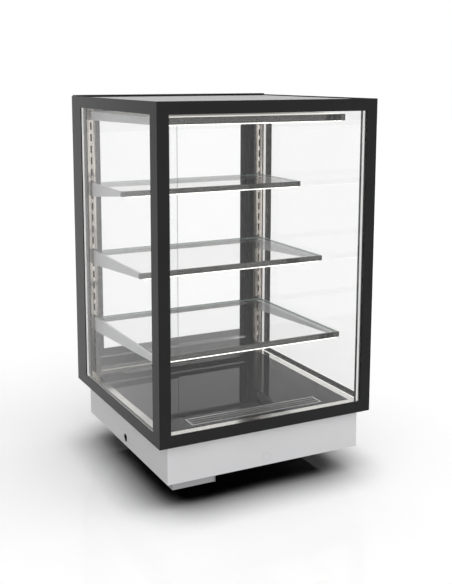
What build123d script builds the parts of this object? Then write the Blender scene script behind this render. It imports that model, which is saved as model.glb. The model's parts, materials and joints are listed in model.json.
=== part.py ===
from build123d import *
import os

os.makedirs("parts", exist_ok=True)

# Drop-in heated display case with three shelves, in millimetres.
# X runs to the right seen from the customer's side, Y to the back, Z up.
# The origin is the centre of the case's footprint on the counter top, so
# everything below Z = 0 hangs in the counter's cut-out.

# Outside of the case above the counter
case_width = 600.0
case_depth = 596.0
case_height = 814.0
fit_gap = 0.3

# Black profiles of the case
angle_wall = 3.0
front_post_face = 30.0
front_post_side = 40.0
rail_face = 30.0
rear_post_side = 73.0
rear_post_face = 57.0
rear_frame_depth = 30.0
tube_wall = 2.0
top_flange = 32.0
cap_height = 3.0
sill_height = 60.0
head_height = 54.0

# Double glazing
pane = 4.0
pane_space = 8.0
spacer_width = 12.0
spacer_inset = 2.0
side_glass_setback = 34.0
side_glass_end_gap = 6.0

# Roof
roof_inset = 3.0
roof_sheet = 2.0
ceiling_sheet = 1.5
ceiling_drop = 25.5

# Slotted uprights
upright_width = 30.0
upright_depth = 28.0
upright_sheet = 1.5
slot_height = 20.0
slot_width = 5.0
slot_pitch = 32.0
first_slot_rise = 39.0

# Shelves: the slot that each one hooks into and its depth from the uprights
shelf_slots = (16, 10, 4)
shelf_depths = (234.0, 350.0, 440.0)
shelf_bar = 14.0
shelf_rear_height = 40.0
shelf_glass = 5.0
shelf_rise = 4.0
canopy_depth = 446.0
canopy_bar = 17.0
canopy_rear_height = 24.0
canopy_sheet = 1.5
canopy_rise = 8.0
bar_depth = 12.0
bar_rebate = 6.0
bar_round = 1.0
bracket_plate = 3.0
bracket_lip = 12.0
lip_sheet = 2.0
rear_bar_gap = 6.0
hook_neck = 8.0
hook_nose = 6.0
hook_reach = 3.5
tab_height = 5.0
led_width = 8.0
led_height = 2.5
led_end_gap = 9.0
lamp_width = 20.0
lamp_height = 9.0
lamp_end_gap = 22.5
lamp_places = (0.25, 0.65)

# Sliding rear doors
door_pane = 5.0
door_channel = 8.4
door_pitch = 11.0
door_overlap = 20.0
door_shoe_height = 21.7
door_shoe_web = 4.0
door_grip_width = 14.0
door_grip_web = 2.0
door_head_hold = 8.0
track_floor = 2.0
track_height = 6.0
track_side_gap = 0.4
head_slot_depth = 14.0
head_slot_side_gap = 1.0
head_sole = 16.0
grip_head_gap = 2.0
grip_round = 0.6

# Drop-in base
base_side_setback = 27.5
base_front_setback = 17.0
base_rear_setback = 26.0
base_drop = 100.0
base_sheet = 1.5
base_flange = 19.5
base_front_flange = 12.0
conduit_radius = 11.0
conduit_height = 21.0
knockout_radius = 12.0
knockout_groove = 1.2
knockout_depth = 0.9

# Heated deck
deck_height = 22.0
deck_side_setback = 38.0
deck_front_setback = 42.0
deck_rear_setback = 36.0
deck_glass_thickness = 5.0
deck_sheet = 1.5
deck_lip = 10.0
deck_upstand = 13.0
deck_notch = 1.5
air_slot_length = 370.0
front_slot_setback = 60.0
front_slot_depth = 38.0
front_slot_slats = 2
rear_slot_setback = 73.0
rear_slot_depth = 12.0
insert_flange = 3.0
insert_sheet = 1.0
insert_slat = 3.0

# Air and heat inside the base
bulkhead_setback = 156.0
bulkhead_sheet = 1.5
bulkhead_foot = 15.0
fan_size = 92.0
fan_depth = 25.0
fan_bore_radius = 43.0
fan_height = 50.0
motor_radius = 16.0
motor_depth = 9.0
fan_strut = 6.0
fan_screw_pitch = 82.5
wheel_gap = 1.0
wheel_front_gap = 2.0
pin_front_gap = 4.0
pin_radius = 2.0
pin_clearance = 0.05
blade_count = 7
blade_pitch = 35.0
blade_thickness = 1.8
blade_chord = 15.0
blade_tip_gap = 1.5
heater_radius = 4.25
heater_bend = 20.0
heater_side_gap = 42.5
heater_front = 165.0
heater_return = 60.0
heater_tail = 8.0

# Connection box under the base
box_left_inset = 14.5
box_width = 114.0
box_depth = 150.0
box_front_inset = 5.0
box_drop = 17.0
box_sheet = 1.2
box_fin = 3.0
box_flange = 14.0
box_screw_setback = 30.0
wire_hole = (40.0, 20.0)
wire_hole_setback = 10.0
terminal_size = (60.0, 24.0, 12.0)
terminal_poles = 5
terminal_well = (6.0, 8.0, 4.0)

# Screws, all alike
screw_radius = 2.0
screw_gap = 0.05
screw_length = 6.0
screw_head_radius = 4.0
screw_head_height = 2.6
screw_head_round = 1.0
screw_cross = (4.4, 1.0, 1.2)

# Thermostat bulb on the back of the bulkhead
bulb_radius = 3.0
bulb_length = 90.0
bulb_x = 120.0
bulb_clip_width = 8.0
bulb_clip_sheet = 1.0
bulb_clip_foot = 7.0

# Cable gland at the back of the base
gland_side_gap = 92.5
gland_depth = 50.0
gland_bore = 5.0
gland_thread = 10.0
gland_thread_gap = 0.2
gland_nut = 14.0
gland_nut_length = 8.0
gland_cap_radius = 11.0
gland_cap_length = 14.0
gland_cap_round = 3.0
gland_lock_radius = 13.0
gland_lock_length = 5.0

# Controls on the back of the sill
control_side_gap = 23.0
control_width = 110.0
control_height = 46.0
control_plate = 1.5
control_round = 3.0
control_screw_inset = 6.0
switch_offset = -32.0
switch_width = 18.0
switch_height = 26.0
switch_gap = 0.5
switch_play = 1.5
switch_out = 7.5
switch_valley = 5.0
switch_in = 6.0
switch_rest_tilt = 7.0
switch_taper = 2.0
dial_offset = 24.0
dial_radius = 16.0
dial_depth = 14.0
dial_lift = 0.5
dial_spindle = 3.0
dial_spindle_gap = 0.05
dial_spindle_tail = 4.0
dial_round = 2.0
pointer_width = 3.0
pointer_height = 1.5
pointer_inset = 3.0

# Planes that several pieces share
half = case_width / 2
front = -case_depth / 2
back = case_depth / 2
inner = half - angle_wall
unit = 2 * pane + pane_space
glass_face = inner - unit
jamb_front = back - rear_frame_depth
jamb_back = back - angle_wall
jamb_edge = half - rear_post_face
flange_top = angle_wall + base_sheet
base_half = half - base_side_setback
base_front = front + base_front_setback
base_back = back - base_rear_setback
base_bottom = -base_drop
roof_top = case_height - roof_inset
roof_flange_top = roof_top - roof_sheet
roof_flange = roof_flange_top - angle_wall
ceiling = roof_top - ceiling_drop
upright_front = jamb_front - upright_depth
upright_edge = glass_face - upright_width
upright_middle = glass_face - upright_width / 2
hook_back = upright_front + upright_sheet + hook_reach
gland_x = base_half - gland_side_gap
control_x = control_side_gap + control_width / 2 - jamb_edge
control_z = sill_height / 2
switch_x = control_x + switch_offset
dial_x = control_x + dial_offset
control_screws = [
    (control_x + side * (control_width / 2 - control_screw_inset), control_z + rise)
    for side in (-1, 1)
    for rise in (control_screw_inset - control_height / 2, control_height / 2 - control_screw_inset)
]
air_slots = (
    (front + front_slot_setback, front + front_slot_setback + front_slot_depth),
    (back - rear_slot_setback - rear_slot_depth, back - rear_slot_setback),
)
first_slot = deck_height + first_slot_rise
slot_count = int((ceiling - first_slot - slot_height / 2) // slot_pitch) + 1
canopy_slot = slot_count - 1


def slab(x, y, z):
    """A box between two limits on each axis."""
    limits = (x, y, z)
    size = [high - low for low, high in limits]
    centre = [(high + low) / 2 for low, high in limits]
    return Pos(*centre) * Box(*size)


def rod(radius, y, x=0.0, z=0.0):
    """A round bar along Y between two limits."""
    return Pos(x, (y[0] + y[1]) / 2, z) * Rot(90, 0, 0) * Cylinder(radius, y[1] - y[0])


def upright_rod(radius, x, y, z):
    """A round bar along Z between two limits."""
    return Pos(x, y, (z[0] + z[1]) / 2) * Cylinder(radius, z[1] - z[0])


def other_side(shape):
    """The left hand of a right-hand piece."""
    return mirror(shape, about=Plane.YZ)


def save(name, *shapes):
    solids = [solid for shape in shapes for solid in shape.solids()]
    whole = solids[0] if len(solids) == 1 else Compound(children=solids)
    export_step(whole, f"parts/{name}.step")


def save_pair(name, right):
    save(f"{name}_right", right)
    save(f"{name}_left", other_side(right))


# Posts and rails
def front_post():
    face = slab((half - front_post_face, half), (front, front + angle_wall), (0, case_height))
    flank = slab((inner, half), (front, front + front_post_side), (0, case_height))
    return face + flank


def rear_post():
    """An angle down to the counter, with a door jamb tube above the base's flange."""
    flank = slab((inner, half), (back - rear_post_side, back), (0, case_height))
    leg = slab((jamb_edge, inner), (jamb_back, back), (0, case_height))
    tube = slab((jamb_edge, inner), (jamb_front, jamb_back), (flange_top, case_height))
    hollow = slab(
        (jamb_edge + tube_wall, inner),
        (jamb_front + tube_wall, jamb_back),
        (flange_top, case_height),
    )
    return flank + leg + (tube - hollow)


def front_rail(low, flange_low, flange_back):
    edge = half - front_post_face
    face = slab((-edge, edge), (front, front + angle_wall), (low, low + rail_face))
    flange = slab((-inner, inner), (front + angle_wall, flange_back), (flange_low, flange_low + angle_wall))
    return face + flange


def side_rail(low, flange_low, flange_edge, flange_y):
    y = (front + front_post_side, back - rear_post_side)
    face = slab((inner, half), y, (low, low + rail_face))
    flange = slab((flange_edge, inner), flange_y, (flange_low, flange_low + angle_wall))
    return face + flange


def rear_sill():
    """A channel that closes the back between the posts, with the rear counter flange."""
    cover = slab((-jamb_edge, jamb_edge), (jamb_front, jamb_back), (flange_top, sill_height))
    room = slab(
        (-jamb_edge, jamb_edge),
        (jamb_front + tube_wall, jamb_back),
        (flange_top, sill_height - tube_wall),
    )
    wall = slab((-jamb_edge, jamb_edge), (jamb_back, back), (0, sill_height))
    flange = slab((-inner, inner), (base_back + fit_gap, jamb_back), (0, angle_wall))
    sill = (cover - room) + wall + flange
    window = slab(
        (switch_x - switch_width / 2 - switch_gap, switch_x + switch_width / 2 + switch_gap),
        (jamb_back, back),
        (control_z - switch_height / 2 - switch_play, control_z + switch_height / 2 + switch_play),
    )
    for x, z in control_screws:
        sill -= rod(screw_radius + screw_gap, (jamb_back, back), x, z)
    return sill - window - rod(dial_spindle + dial_spindle_gap, (jamb_back, back), dial_x, control_z)


def rear_head():
    """The beam over the doors, slotted for their top edges, with the proud cap strip."""
    low = case_height - head_height
    x = (-jamb_edge, jamb_edge)
    beam = slab(x, (jamb_front, back), (low, case_height))
    room = slab(x, (jamb_front + tube_wall, jamb_back), (low + head_sole, case_height))
    cap = slab((-inner, inner), (jamb_front, back), (case_height, case_height + cap_height))
    head = (beam - room) + cap
    for plane in door_planes:
        reach = door_pane / 2 + head_slot_side_gap
        head -= slab(x, (plane - reach, plane + reach), (low, low + head_slot_depth))
    return head


# Glazing
def frame_bars(x, y, z, axis):
    """Four spacer bars round a unit: two upright and two lying, butted at the corners."""
    inset = spacer_inset
    wide = spacer_width
    low_z, high_z = z[0] + inset, z[1] - inset
    bars = []
    if axis == "y":
        left, right = x[0] + inset, x[1] - inset
        bars += [slab((left, left + wide), y, (low_z, high_z))]
        bars += [slab((right - wide, right), y, (low_z, high_z))]
        bars += [slab((left + wide, right - wide), y, (low_z, low_z + wide))]
        bars += [slab((left + wide, right - wide), y, (high_z - wide, high_z))]
    else:
        near, far = y[0] + inset, y[1] - inset
        bars += [slab(x, (near, near + wide), (low_z, high_z))]
        bars += [slab(x, (far - wide, far), (low_z, high_z))]
        bars += [slab(x, (near + wide, far - wide), (low_z, low_z + wide))]
        bars += [slab(x, (near + wide, far - wide), (high_z - wide, high_z))]
    return bars


def glazing():
    """Front and side units: outer pane, inner pane and the bars between them."""
    z = (flange_top, roof_flange - fit_gap)
    x = (-inner + spacer_inset, inner - spacer_inset)
    y0 = front + angle_wall
    save("front_glass_outer", slab(x, (y0, y0 + pane), z))
    save("front_glass_inner", slab(x, (y0 + unit - pane, y0 + unit), z))
    bars = frame_bars(x, (y0 + pane, y0 + unit - pane), z, "y")
    y = (front + side_glass_setback, jamb_front - side_glass_end_gap)
    outer_pane = slab((inner - pane, inner), y, z)
    inner_pane = slab((glass_face, glass_face + pane), y, z)
    save("side_glass_outer", outer_pane, other_side(outer_pane))
    save("side_glass_inner", inner_pane, other_side(inner_pane))
    side_bars = frame_bars((glass_face + pane, inner - pane), y, z, "x")
    save("glass_spacers", *bars, *side_bars, *[other_side(bar) for bar in side_bars])


# Roof
def top_panel():
    """The roof sheet, which lies inside the top rails, a little below their edges."""
    x = inner - fit_gap
    y = (front + angle_wall + fit_gap, jamb_front - fit_gap)
    return slab((-x, x), y, (roof_flange_top, roof_top))


def ceiling_panel():
    """A pan whose turned-up edges meet the underside of the top rails."""
    x = glass_face - fit_gap
    y = (front + angle_wall + unit + fit_gap, jamb_front - fit_gap)
    pan = slab((-x, x), y, (ceiling, roof_flange))
    edge = ceiling_sheet
    room = slab((edge - x, x - edge), (y[0] + edge, y[1] - edge), (ceiling + edge, roof_flange))
    return pan - room


# Uprights
def upright():
    """A channel with its back open to the jamb and a row of slots in its face."""
    x = (upright_edge, glass_face)
    y = (upright_front, jamb_front)
    post = slab(x, y, (deck_height, ceiling))
    room = slab(
        (x[0] + upright_sheet, x[1] - upright_sheet),
        (y[0] + upright_sheet, y[1]),
        (deck_height, ceiling),
    )
    post -= room
    slots = [
        slab(
            (upright_middle - slot_width / 2, upright_middle + slot_width / 2),
            (upright_front, upright_front + upright_sheet),
            (slot_middle(k) - slot_height / 2, slot_middle(k) + slot_height / 2),
        )
        for k in range(slot_count)
    ]
    return post - slots


def slot_middle(k):
    return first_slot + k * slot_pitch


# Shelves and canopy
def bracket(slot, top, depth, rear_height, front_height, plate):
    """A tapered side plate with a lip under the plate it carries and one hook at the back."""
    near = upright_front - depth
    x = (upright_middle - bracket_plate / 2, upright_middle + bracket_plate / 2)
    outline = [
        (near + bar_depth, top),
        (upright_front, top),
        (upright_front, top - rear_height),
        (near + bar_depth, top - front_height),
    ]
    side = extrude(
        Plane.YZ.offset(x[0]) * make_face(Polyline(*outline, close=True)),
        bracket_plate,
    )
    lip = slab(
        (x[0] - bracket_lip, x[0]),
        (near + bar_depth, upright_front - rear_bar_gap - bar_depth),
        (top - plate - lip_sheet, top - plate),
    )
    bottom = slot_middle(slot) - slot_height / 2
    neck = slab(x, (upright_front, hook_back), (bottom, bottom + hook_neck))
    nose = slab(x, (upright_front + upright_sheet + fit_gap, hook_back), (bottom - hook_nose, bottom))
    return side + lip + neck + nose


def lower_tab(top):
    """A square tab in the slot below the hook's, which keeps the bracket in line."""
    x = (upright_middle - bracket_plate / 2, upright_middle + bracket_plate / 2)
    bottom = top - shelf_rear_height
    return slab(x, (upright_front, hook_back), (bottom, bottom + tab_height))


def front_bar(top, depth, bar, plate):
    """The front rail, rebated at the back for the plate's edge."""
    edge = upright_middle + bracket_plate / 2
    near = upright_front - depth
    rail = slab((-edge, edge), (near, near + bar_depth), (top - bar, top))
    rebate = slab((-edge, edge), (near + bar_rebate, near + bar_depth), (top - plate, top))
    rail = rail - rebate
    return fillet(rail.edges().filter_by(Axis.X).group_by(Axis.Y)[0], bar_round)


def rear_bar(top, bar, plate):
    edge = upright_middle - bracket_plate / 2
    far = upright_front - rear_bar_gap
    rail = slab((-edge, edge), (far - bar_depth, far), (top - bar, top))
    return rail - slab((-edge, edge), (far - bar_depth, far - bar_rebate), (top - plate, top))


def carried_plate(top, depth, plate):
    """The loose glass, or the canopy's sheet, that lies in the frame."""
    edge = upright_middle - bracket_plate / 2 - fit_gap
    near = upright_front - depth + bar_rebate + fit_gap
    far = upright_front - rear_bar_gap - bar_rebate - fit_gap
    return slab((-edge, edge), (near, far), (top - plate, top))


def led_strip(top, depth, bar):
    """The light strip along the underside of a front rail."""
    edge = upright_middle + bracket_plate / 2 - led_end_gap
    near = upright_front - depth + bar_round
    return slab((-edge, edge), (near, near + led_width), (top - bar - led_height, top - bar))


def shelves():
    for number, (slot, depth) in enumerate(zip(shelf_slots, shelf_depths), start=1):
        top = slot_middle(slot) + shelf_rise
        name = f"shelf_{number}"
        side = bracket(slot, top, depth, shelf_rear_height, shelf_bar, shelf_glass) + lower_tab(top)
        rails = front_bar(top, depth, shelf_bar, shelf_glass), rear_bar(top, shelf_bar, shelf_glass)
        save(f"{name}_rails", *rails)
        save(f"{name}_brackets", side, other_side(side))
        save(f"{name}_glass", carried_plate(top, depth, shelf_glass))
        save(f"{name}_led", led_strip(top, depth, shelf_bar))


def canopy():
    top = slot_middle(canopy_slot) + canopy_rise
    side = bracket(canopy_slot, top, canopy_depth, canopy_rear_height, canopy_bar, canopy_sheet)
    rails = front_bar(top, canopy_depth, canopy_bar, canopy_sheet), rear_bar(top, canopy_bar, canopy_sheet)
    save("canopy_rails", *rails)
    save("canopy_brackets", side, other_side(side))
    save("canopy_panel", carried_plate(top, canopy_depth, canopy_sheet))
    under = top - canopy_sheet
    lamp_end = upright_middle - bracket_plate / 2 - bracket_lip - lamp_end_gap
    lamps = [led_strip(top, canopy_depth, canopy_bar)]
    for share in lamp_places:
        middle = upright_front - canopy_depth * (1 - share)
        y = (middle - lamp_width / 2, middle + lamp_width / 2)
        lamps.append(slab((-lamp_end, lamp_end), y, (under - lamp_height, under)))
    save("canopy_lamps", *lamps)


# Rear doors
door_middle = (jamb_front + jamb_back) / 2
door_planes = (door_middle - door_pitch / 2, door_middle + door_pitch / 2)


def door_track():
    """Two grooves for the door shoes, along the top of the sill."""
    x = (-jamb_edge + fit_gap, jamb_edge - fit_gap)
    track = slab(x, (jamb_front, jamb_back), (sill_height, sill_height + track_height))
    for plane in door_planes:
        reach = door_channel / 2 + track_side_gap
        groove = (plane - reach, plane + reach)
        track -= slab(x, groove, (sill_height + track_floor, sill_height + track_height))
    return track


def right_door(plane):
    """Pane, bottom shoe and edge grip of the right-hand door on its plane."""
    outer = jamb_edge - fit_gap
    inner_edge = -door_overlap / 2
    low = sill_height + track_floor + fit_gap
    glass_top = case_height - head_height + door_head_hold
    y_pane = (plane - door_pane / 2, plane + door_pane / 2)
    y_channel = (plane - door_channel / 2, plane + door_channel / 2)
    shoe_top = low + door_shoe_height
    grip_top = case_height - head_height - grip_head_gap
    glass = slab((inner_edge, outer - door_grip_web), y_pane, (low + door_shoe_web, glass_top))
    shoe = slab((inner_edge, outer), y_channel, (low, shoe_top)) - glass
    grip = slab((outer - door_grip_width, outer), y_channel, (shoe_top, grip_top)) - glass
    grip = fillet(grip.edges().filter_by(Axis.Z).group_by(Axis.X)[0], grip_round)
    return glass, shoe, grip


def doors():
    glass, shoe, grip = right_door(door_planes[1])
    save("door_right_glass", glass)
    save("door_right_profiles", shoe, grip)
    glass, shoe, grip = [other_side(piece) for piece in right_door(door_planes[0])]
    save("door_left_glass", glass)
    save("door_left_profiles", shoe, grip)


# Heated deck
def deck_outline(margin, z):
    """The deck's plan, grown by a margin, with its rear corners cut round the uprights."""
    x = half - deck_side_setback + margin
    y = (front + deck_front_setback - margin, back - deck_rear_setback + margin)
    plan = slab((-x, x), y, z)
    corner = slab((upright_edge - deck_notch + margin, half), (upright_front - deck_notch + margin, back), z)
    return plan - corner - other_side(corner)


def deck_glass():
    glass = deck_outline(0, (deck_height - deck_glass_thickness, deck_height))
    for span in air_slots:
        x = air_slot_length / 2
        glass -= slab((-x, x), span, (deck_height - deck_glass_thickness, deck_height))
    return glass


def slot_insert(span, slats):
    """A folded rim that lies on the glass, its collar in the slot, and slats across."""
    x = air_slot_length / 2
    z = (deck_height - deck_glass_thickness, deck_height + insert_sheet)
    hold = insert_flange
    rim = slab((-x - hold, x + hold), (span[0] - hold, span[1] + hold), (deck_height, z[1]))
    body = slab((fit_gap - x, x - fit_gap), (span[0] + fit_gap, span[1] - fit_gap), z)
    inset = fit_gap + insert_sheet
    y = (span[0] + inset, span[1] - inset)
    insert = rim + body - slab((inset - x, x - inset), y, z)
    gap = (y[1] - y[0] - slats * insert_slat) / (slats + 1)
    for k in range(slats):
        start = y[0] + gap + k * (gap + insert_slat)
        insert += slab((inset - x, x - inset), (start, start + insert_slat), (deck_height, z[1]))
    return insert


def deck_ledge():
    """The steel surround: a flat border, a step with a lip for the glass, and legs."""
    x = glass_face - fit_gap
    y = (front + angle_wall + unit + fit_gap, jamb_front - fit_gap)
    under = deck_height - deck_sheet
    seat = deck_height - deck_glass_thickness
    border = slab((-x, x), y, (under, deck_height)) - deck_outline(fit_gap, (under, deck_height))
    step = deck_outline(fit_gap + deck_sheet, (seat - deck_sheet, under))
    step -= deck_outline(fit_gap, (seat - deck_sheet, under))
    lip = deck_outline(fit_gap, (seat - deck_sheet, seat))
    lip -= deck_outline(-deck_lip, (seat - deck_sheet, seat))
    legs = slab((-x, x), y, (flange_top, under))
    room_y = (y[0] + deck_sheet, y[1] - deck_sheet)
    legs -= slab((deck_sheet - x, x - deck_sheet), room_y, (flange_top, under))
    upstand_x = upright_edge - deck_notch
    upstand_z = (deck_height, deck_height + deck_upstand)
    upstand = slab((-upstand_x, upstand_x), (y[1] - deck_sheet, y[1]), upstand_z)
    return border + step + lip + legs + upstand


# Drop-in base
def base_shell():
    """Front, floor and back folded from one sheet, with flanges on the counter rails."""
    x = (-base_half, base_half)
    sheet = base_sheet
    face = slab(x, (base_front, base_front + sheet), (base_bottom, flange_top))
    floor = slab(x, (base_front, base_back), (base_bottom, base_bottom + sheet))
    rear = slab(x, (base_back - sheet, base_back), (base_bottom, flange_top))
    front_flange = slab(x, (base_front - base_front_flange, base_front), (angle_wall, flange_top))
    rear_flange = slab(x, (base_back, base_back + base_flange), (angle_wall, flange_top))
    shell = face + floor + rear + front_flange + rear_flange
    groove = rod(knockout_radius, (base_front, base_front + knockout_depth), 0, base_bottom + conduit_height)
    groove -= rod(
        knockout_radius - knockout_groove,
        (base_front, base_front + knockout_depth),
        0,
        base_bottom + conduit_height,
    )
    shell -= groove
    shell -= rod(gland_thread + gland_thread_gap, (base_back - sheet, base_back), gland_x, -gland_depth)
    middle = (box_x[0] + box_x[1]) / 2
    hole_y = box_y[1] - wire_hole_setback - wire_hole[1] / 2
    shell -= slab(
        (middle - wire_hole[0] / 2, middle + wire_hole[0] / 2),
        (hole_y - wire_hole[1] / 2, hole_y + wire_hole[1] / 2),
        (base_bottom, base_bottom + sheet),
    )
    for x, y in box_screws:
        shell -= upright_rod(screw_radius + screw_gap, x, y, (base_bottom, base_bottom + sheet))
    return shell


def base_side():
    """The right side panel, between the front and back walls, with its flange."""
    y = (base_front + base_sheet, base_back - base_sheet)
    wall = slab((base_half - base_sheet, base_half), y, (base_bottom + base_sheet, flange_top))
    flange = slab((base_half, base_half + base_flange), y, (angle_wall, flange_top))
    return wall + flange


def base_sides():
    right = base_side()
    save("base_side_right", right)
    middle = (base_front + base_back) / 2
    bore = Rot(0, 90, 0) * Cylinder(conduit_radius, 4 * base_sheet)
    save("base_side_left", other_side(right) - Pos(-base_half, middle, base_bottom + conduit_height) * bore)


# Connection box
box_x = (-base_half + box_left_inset, -base_half + box_left_inset + box_width)
box_y = (base_front + box_front_inset, base_front + box_front_inset + box_depth)
box_screws = [
    (x, y)
    for x in (box_x[0] + box_flange / 2, box_x[1] - box_flange / 2)
    for y in (box_y[0] + box_screw_setback, box_y[1] - box_screw_setback)
]


def connection_box():
    """A shallow pan under the base's floor, held by two folded flanges along its sides."""
    z = (base_bottom - box_drop, base_bottom)
    pan = slab(box_x, box_y, z)
    pan -= slab(
        (box_x[0] + box_sheet, box_x[1] - box_sheet),
        (box_y[0] + box_sheet, box_y[1] - box_sheet),
        (z[0] + box_sheet, z[1]),
    )
    top = (z[1] - box_sheet, z[1])
    pan += slab((box_x[0], box_x[0] + box_flange), box_y, top)
    pan += slab((box_x[1] - box_flange, box_x[1]), box_y, top)
    pan += slab((box_x[1] - box_sheet, box_x[1]), (box_y[0] - box_fin, box_y[0]), z)
    for x, y in box_screws:
        pan -= upright_rod(screw_radius + screw_gap, x, y, top)
    return pan


def terminal_block():
    length, depth, height = terminal_size
    well_x, well_y, well_z = terminal_well
    x = (box_x[0] + box_x[1]) / 2
    y = (box_y[0] + box_y[1]) / 2
    floor = base_bottom - box_drop + box_sheet
    block = slab((x - length / 2, x + length / 2), (y - depth / 2, y + depth / 2), (floor, floor + height))
    for k in range(terminal_poles):
        place = x - length / 2 + (k + 0.5) * length / terminal_poles
        block -= slab(
            (place - well_x / 2, place + well_x / 2),
            (y - well_y / 2, y + well_y / 2),
            (floor + height - well_z, floor + height),
        )
    return block


# Air and heat
bulkhead_y = back - bulkhead_setback
fan_z = -fan_height
fan_screws = [
    (x, fan_z + z)
    for x in (-fan_screw_pitch / 2, fan_screw_pitch / 2)
    for z in (-fan_screw_pitch / 2, fan_screw_pitch / 2)
]


def fan_bulkhead():
    """An upright plate across the base, with the fan's hole and the element's holes."""
    x = base_half - base_sheet - fit_gap
    floor = base_bottom + base_sheet
    top = deck_height - deck_glass_thickness - deck_sheet - fit_gap
    plate = slab((-x, x), (bulkhead_y, bulkhead_y + bulkhead_sheet), (floor, top))
    foot = slab((-x, x), (bulkhead_y, bulkhead_y + bulkhead_foot), (floor, floor + bulkhead_sheet))
    plate += foot
    y = (bulkhead_y, bulkhead_y + bulkhead_sheet)
    plate -= rod(fan_bore_radius, y, 0, fan_z)
    for x in heater_ends:
        plate -= rod(heater_radius, y, x, fan_z)
    for x, z in fan_screws:
        plate -= rod(screw_radius + screw_gap, y, x, z)
    return plate


def fan_frame():
    """A square housing, the motor in its middle on four struts, and the motor's pin."""
    y = (bulkhead_y - fan_depth, bulkhead_y)
    reach = fan_size / 2
    housing = slab((-reach, reach), y, (fan_z - reach, fan_z + reach)) - rod(fan_bore_radius, y, 0, fan_z)
    motor_y = (bulkhead_y - motor_depth, bulkhead_y)
    strut = slab((-reach, reach), motor_y, (-fan_strut / 2, fan_strut / 2))
    cross = strut + Rot(0, 90, 0) * strut
    motor = rod(motor_radius, motor_y, 0, fan_z)
    pin = rod(pin_radius, (y[0] + pin_front_gap, bulkhead_y), 0, fan_z)
    frame = housing + Pos(0, 0, fan_z) * cross + motor + pin
    for x, z in fan_screws:
        frame -= rod(screw_radius + screw_gap, (bulkhead_y - screw_length, bulkhead_y), x, z)
    return frame


def fan_impeller():
    """A hub on the motor's pin with pitched blades that clear the housing's bore."""
    y = (bulkhead_y - fan_depth + wheel_front_gap, bulkhead_y - motor_depth - wheel_gap)
    middle = (y[0] + y[1]) / 2
    tip = fan_bore_radius - blade_tip_gap
    blade = Pos(tip / 2, 0, 0) * Rot(blade_pitch, 0, 0) * Box(tip, blade_chord, blade_thickness)
    blades = [Rot(0, 360 * k / blade_count, 0) * blade for k in range(blade_count)]
    wheel = rod(motor_radius, (y[0] - middle, y[1] - middle)) + blades
    wheel &= rod(tip, (y[0] - middle, y[1] - middle))
    bore = rod(pin_radius + pin_clearance, (y[0] - middle, y[1] - middle))
    return Pos(0, middle, fan_z) * (wheel - bore)


def thermostat_bulb():
    """A sensing bulb along the back of the bulkhead, held by two folded clips."""
    face = bulkhead_y + bulkhead_sheet
    y = face + bulb_clip_sheet + bulb_radius
    z = (fan_z - bulb_length / 2, fan_z + bulb_length / 2)
    bulb = upright_rod(bulb_radius, bulb_x, y, z)
    outside = bulb_radius + bulb_clip_sheet
    clips = []
    for height in (z[0] + bulb_clip_width, z[1] - bulb_clip_width):
        span = (height - bulb_clip_width / 2, height + bulb_clip_width / 2)
        loop = upright_rod(outside, bulb_x, y, span) - upright_rod(bulb_radius, bulb_x, y, span)
        foot = slab((bulb_x, bulb_x + outside + bulb_clip_foot), (face, face + bulb_clip_sheet), span)
        clips.append(loop + foot)
    return [bulb, *clips]


heater_half_width = base_half - heater_side_gap
heater_ends = (-heater_half_width, heater_return - heater_half_width)


def heating_element():
    """A sheathed element in two long legs, both ends held in the bulkhead."""
    near = front + heater_front
    far = near + heater_return
    tail = bulkhead_y + bulkhead_sheet + heater_tail
    left, right = heater_ends[0], heater_half_width
    route = FilletPolyline(
        (left, tail, fan_z),
        (left, near, fan_z),
        (right, near, fan_z),
        (right, far, fan_z),
        (heater_ends[1], far, fan_z),
        (heater_ends[1], tail, fan_z),
        radius=heater_bend,
    )
    section = Plane(origin=route @ 0, z_dir=route % 0) * Circle(heater_radius)
    return sweep(section, path=route)


# Cable gland
def cable_gland():
    """Lock nut inside, thread through the wall, nut and cap outside, bored through."""
    wall = base_back - base_sheet
    z = -gland_depth
    lock = rod(gland_lock_radius, (wall - gland_lock_length, wall), gland_x, z)
    thread = rod(gland_thread, (wall - gland_lock_length, base_back), gland_x, z)
    hexagon = Plane.XZ * RegularPolygon(gland_nut, 6)
    nut = Pos(gland_x, base_back, z) * extrude(hexagon, -gland_nut_length)
    cap_start = base_back + gland_nut_length
    cap = rod(gland_cap_radius, (cap_start, cap_start + gland_cap_length), gland_x, z)
    cap = fillet(cap.edges().sort_by(Axis.Y)[-1], gland_cap_round)
    body = lock + thread + nut + cap
    whole = (wall - gland_lock_length, cap_start + gland_cap_length)
    return body - rod(gland_bore, whole, gland_x, z)


# Controls
def control_panel():
    """The plate round the switch and the dial, screwed to the back of the sill."""
    x = (control_x - control_width / 2, control_x + control_width / 2)
    z = (control_z - control_height / 2, control_z + control_height / 2)
    plate = slab(x, (back, back + control_plate), z)
    plate = fillet(plate.edges().filter_by(Axis.Y), control_round)
    plate -= slab(
        (switch_x - switch_width / 2 - switch_gap, switch_x + switch_width / 2 + switch_gap),
        (back, back + control_plate),
        (control_z - switch_height / 2 - switch_play, control_z + switch_height / 2 + switch_play),
    )
    for x, z in control_screws:
        plate -= rod(screw_radius + screw_gap, (back, back + control_plate), x, z)
    return plate - rod(dial_spindle + dial_spindle_gap, (back, back + control_plate), dial_x, control_z)


def rocker_switch():
    """A rocker with two faces that meet in a shallow valley, lying on its off side."""
    tall = switch_height / 2
    outline = [
        (-switch_in, -tall + switch_taper),
        (switch_out, -tall),
        (switch_valley, 0),
        (switch_out, tall),
        (-switch_in, tall - switch_taper),
    ]
    face = make_face(Polyline(*outline, close=True))
    body = extrude(Plane.YZ.offset(-switch_width / 2) * face, switch_width)
    return Pos(switch_x, back, control_z) * Rot(switch_rest_tilt, 0, 0) * body


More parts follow.
